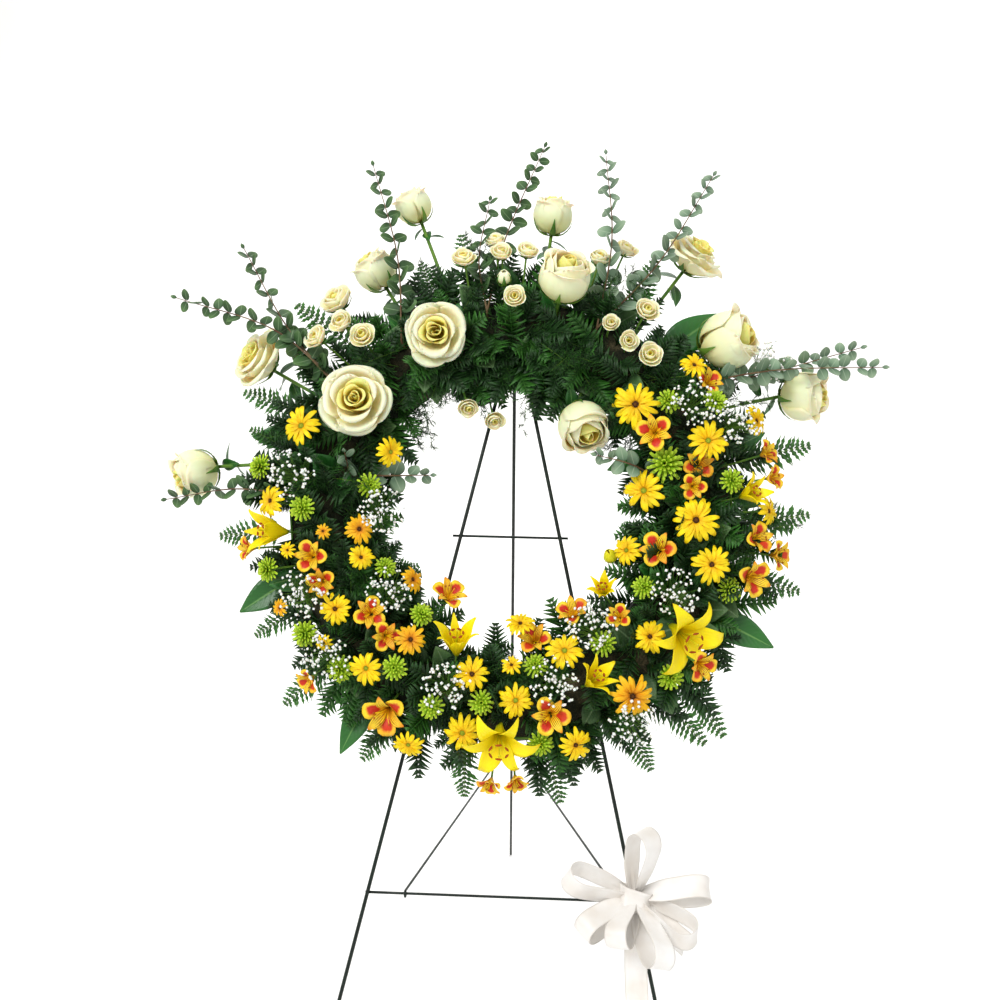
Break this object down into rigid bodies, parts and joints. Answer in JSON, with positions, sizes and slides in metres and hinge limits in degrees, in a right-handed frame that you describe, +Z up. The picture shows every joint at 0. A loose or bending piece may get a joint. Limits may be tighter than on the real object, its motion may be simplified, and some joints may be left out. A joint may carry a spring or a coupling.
{
  "type": "standing funeral wreath",
  "caption": "Open ring wreath of cream roses, yellow daisies, lilies and greens on a moss form, tied to a folding wire easel with a white satin bow on one leg.",
  "frame": {"origin": "the rear foot's middle, on the floor", "axes": "+Z up; +X to the viewer's right across the wreath; the wreath's face looks towards -Y and leans back towards +Y"},
  "size_m": [0.8785, 0.8179, 1.2387],
  "materials": {
    "wire": "dark green-black enamel, satin",
    "moss": "dull brown-grey matted fibre",
    "rose_petals": "soft cream-white petals",
    "leaves": "deep green leaves",
    "eucalyptus_leaves": "dusty grey-green leaves",
    "daisy_petals": "golden yellow petals",
    "mum_petals": "lime green petals",
    "alstroemeria_petals": "yellow-orange petals with red marks",
    "lily_petals": "lemon yellow petals",
    "tiny_flowers": "small white flowers",
    "satin_ribbon": "white satin, soft sheen"
  },
  "bodies": {
    "stand": {"wire_form": "wire", "rose_01": "rose_petals", "rose_02": "rose_petals", "rose_03": "rose_petals", "rose_04": "rose_petals", "rose_05": "rose_petals", "rose_06": "rose_petals", "rose_07": "rose_petals", "rose_08": "rose_petals", "rose_09": "rose_petals", "rose_10": "rose_petals", "rose_11": "rose_petals", "rose_12": "rose_petals", "lily_left": "lily_petals", "lily_bottom": "lily_petals", "lily_right": "lily_petals", "lily_upper_right": "lily_petals", "spray_roses_left": "rose_petals", "spray_roses_top": "rose_petals", "spray_roses_right": "rose_petals", "daisies_left": "daisy_petals", "daisies_lower_left": "daisy_petals", "daisies_bottom": "daisy_petals", "daisies_right": "daisy_petals", "daisies_upper_right": "daisy_petals", "mums_left": "mum_petals", "mums_bottom": "mum_petals", "mums_right": "mum_petals", "alstroemeria_left": "alstroemeria_petals", "alstroemeria_bottom": "alstroemeria_petals", "alstroemeria_right": "alstroemeria_petals", "eucalyptus_top_left": "eucalyptus_leaves", "eucalyptus_top": "eucalyptus_leaves", "eucalyptus_top_right": "eucalyptus_leaves", "eucalyptus_right": "eucalyptus_leaves", "eucalyptus_left": "eucalyptus_leaves", "eucalyptus_far_left": "eucalyptus_leaves", "eucalyptus_inner_left": "eucalyptus_leaves", "eucalyptus_inner_right": "eucalyptus_leaves", "babys_breath_left": "tiny_flowers", "babys_breath_right": "tiny_flowers", "greens_left": "leaves", "greens_bottom": "leaves", "greens_right": "leaves", "greens_top": "leaves", "greens_inner_left": "leaves", "greens_inner_right": "leaves", "greens_inner_top": "leaves", "tie_left": "wire", "tie_right": "wire", "moss_ring": "moss", "front_leg_left": "wire", "front_leg_right": "wire", "upper_crossbar": "wire", "lower_crossbar": "wire", "hinge_bar": "wire", "bow": "satin_ribbon"},
    "rear_leg": {"rear_leg": "wire"},
    "spreader": {"spreader_left": "wire", "spreader_right": "wire"}
  },
  "joints": [
    {"name": "rear_leg_fold", "type": "hinge", "parent": "stand", "child": "rear_leg", "pos_m": [0, -0.52722, 0.94684], "axis": [1, 0, 0], "range_deg": [-43.2, 0]},
    {"name": "spreader_fold", "type": "hinge", "parent": "stand", "child": "spreader", "pos_m": [0, -0.71102, 0.32233], "axis": [1, 0, 0], "range_deg": [0, 74.1]}
  ],
  "couplings": [
    {"joint": "spreader_fold", "follows": "rear_leg_fold", "ratio": -1.714}
  ]
}
